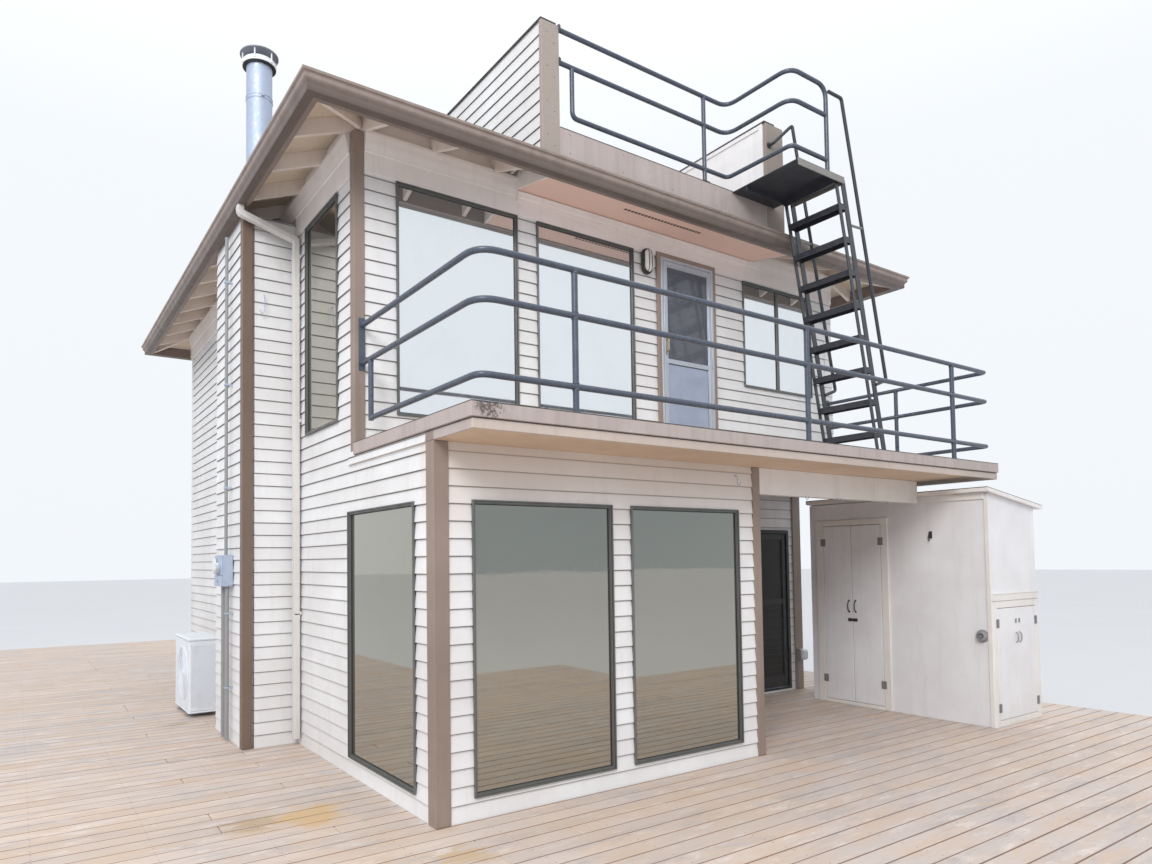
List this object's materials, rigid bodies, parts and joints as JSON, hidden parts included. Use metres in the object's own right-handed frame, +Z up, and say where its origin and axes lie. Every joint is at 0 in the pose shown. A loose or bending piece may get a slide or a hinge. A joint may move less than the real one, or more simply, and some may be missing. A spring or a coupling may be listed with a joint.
{
  "type": "houseboat",
  "caption": "Two-storey floating home with lap siding, balcony, roof deck, ladder and lean-to shed on a planked log float.",
  "frame": {"origin": "centre of the float's outline, at the bottom of its logs", "axes": "+X to the right along the front wall, +Y from the front deck to the back, +Z up"},
  "size_m": [10.516, 19.865, 7.921],
  "materials": {
    "siding_paint": "satin paint",
    "trim_paint": "satin paint",
    "deck_wood": "weathered stain",
    "timber": "rough sawn",
    "log_wood": "weathered",
    "rail_steel": "satin paint",
    "ladder_steel": "satin paint",
    "roofing": "matte",
    "gutter_metal": "satin paint",
    "spout_metal": "satin paint",
    "window_glass": "clear",
    "galvanized": "dull",
    "panel_paint": "satin paint",
    "door_metal": "satin paint",
    "slider_metal": "satin paint",
    "appliance_metal": "satin paint"
  },
  "bodies": {
    "home": {"float_logs": "log_wood", "deck_frame": "timber", "upper_floor": "timber", "deck_boards": "deck_wood", "lower_front_wall": "siding_paint", "left_wall": "siding_paint", "chimney_chase": "siding_paint", "rear_wall": "siding_paint", "right_wall": "siding_paint", "upper_front_wall": "siding_paint", "porch_side_wall": "siding_paint", "porch_back_wall": "siding_paint", "porch_beam": "siding_paint", "balcony_floor": "siding_paint", "roof_frame": "siding_paint", "roof_deck": "siding_paint", "front_corner_post": "trim_paint", "porch_post": "trim_paint", "upper_corner_post": "trim_paint", "chase_corner_post": "trim_paint", "storm_door_frame": "trim_paint", "rear_door_frame": "trim_paint", "balcony_rail": "rail_steel", "roof_rail": "rail_steel", "ladder": "ladder_steel", "roof_sheet": "roofing", "gutter": "gutter_metal", "downspout": "spout_metal", "flue": "galvanized", "meter_box": "galvanized", "window_front_left": "window_glass", "window_front_right": "window_glass", "window_left_low": "window_glass", "window_left_tall": "window_glass", "window_upper_left": "window_glass", "window_upper_middle": "window_glass", "window_upper_right": "window_glass", "window_rear": "window_glass", "window_right": "window_glass", "slider_frame": "slider_metal", "shed_door_wall": "panel_paint", "shed_front_wall": "panel_paint", "shed_back_wall": "panel_paint", "shed_right_wall": "panel_paint", "shed_roof": "panel_paint", "outdoor_unit": "appliance_metal"},
    "storm_door_leaf": {"storm_door": "door_metal"},
    "sliding_door_leaf": {"sliding_door": "slider_metal"},
    "rear_door_leaf": {"rear_door": "trim_paint"},
    "shed_door_left_leaf": {"shed_door_left": "panel_paint"},
    "shed_door_right_leaf": {"shed_door_right": "panel_paint"},
    "locker_door_left_leaf": {"locker_door_left": "panel_paint"},
    "locker_door_right_leaf": {"locker_door_right": "panel_paint"}
  },
  "joints": [
    {"name": "storm_door_hinge", "type": "hinge", "parent": "home", "child": "storm_door_leaf", "pos_m": [1.7625, -3.0645, 4.82], "axis": [0, 0, 1], "range_deg": [0, 100]},
    {"name": "sliding_door_track", "type": "slide", "parent": "home", "child": "sliding_door_leaf", "axis": [-1, 0, 0], "range_m": [0, 0.78]},
    {"name": "rear_door_hinge", "type": "hinge", "parent": "home", "child": "rear_door_leaf", "pos_m": [-1.1367, 3.6275, 2.134], "axis": [0, 0, -1], "range_deg": [0, 88]},
    {"name": "shed_door_left_hinge", "type": "hinge", "parent": "home", "child": "shed_door_left_leaf", "pos_m": [3.406, -3.203, 2.077], "axis": [0, 0, -1], "range_deg": [0, 100]},
    {"name": "shed_door_right_hinge", "type": "hinge", "parent": "home", "child": "shed_door_right_leaf", "pos_m": [3.406, -3.912, 2.077], "axis": [0, 0, 1], "range_deg": [0, 100]},
    {"name": "locker_door_left_hinge", "type": "hinge", "parent": "home", "child": "locker_door_left_leaf", "pos_m": [3.5175, -5.0465, 1.62], "axis": [0, 0, -1], "range_deg": [0, 110]},
    {"name": "locker_door_right_hinge", "type": "hinge", "parent": "home", "child": "locker_door_right_leaf", "pos_m": [4.3125, -5.0465, 1.62], "axis": [0, 0, 1], "range_deg": [0, 110]}
  ]
}
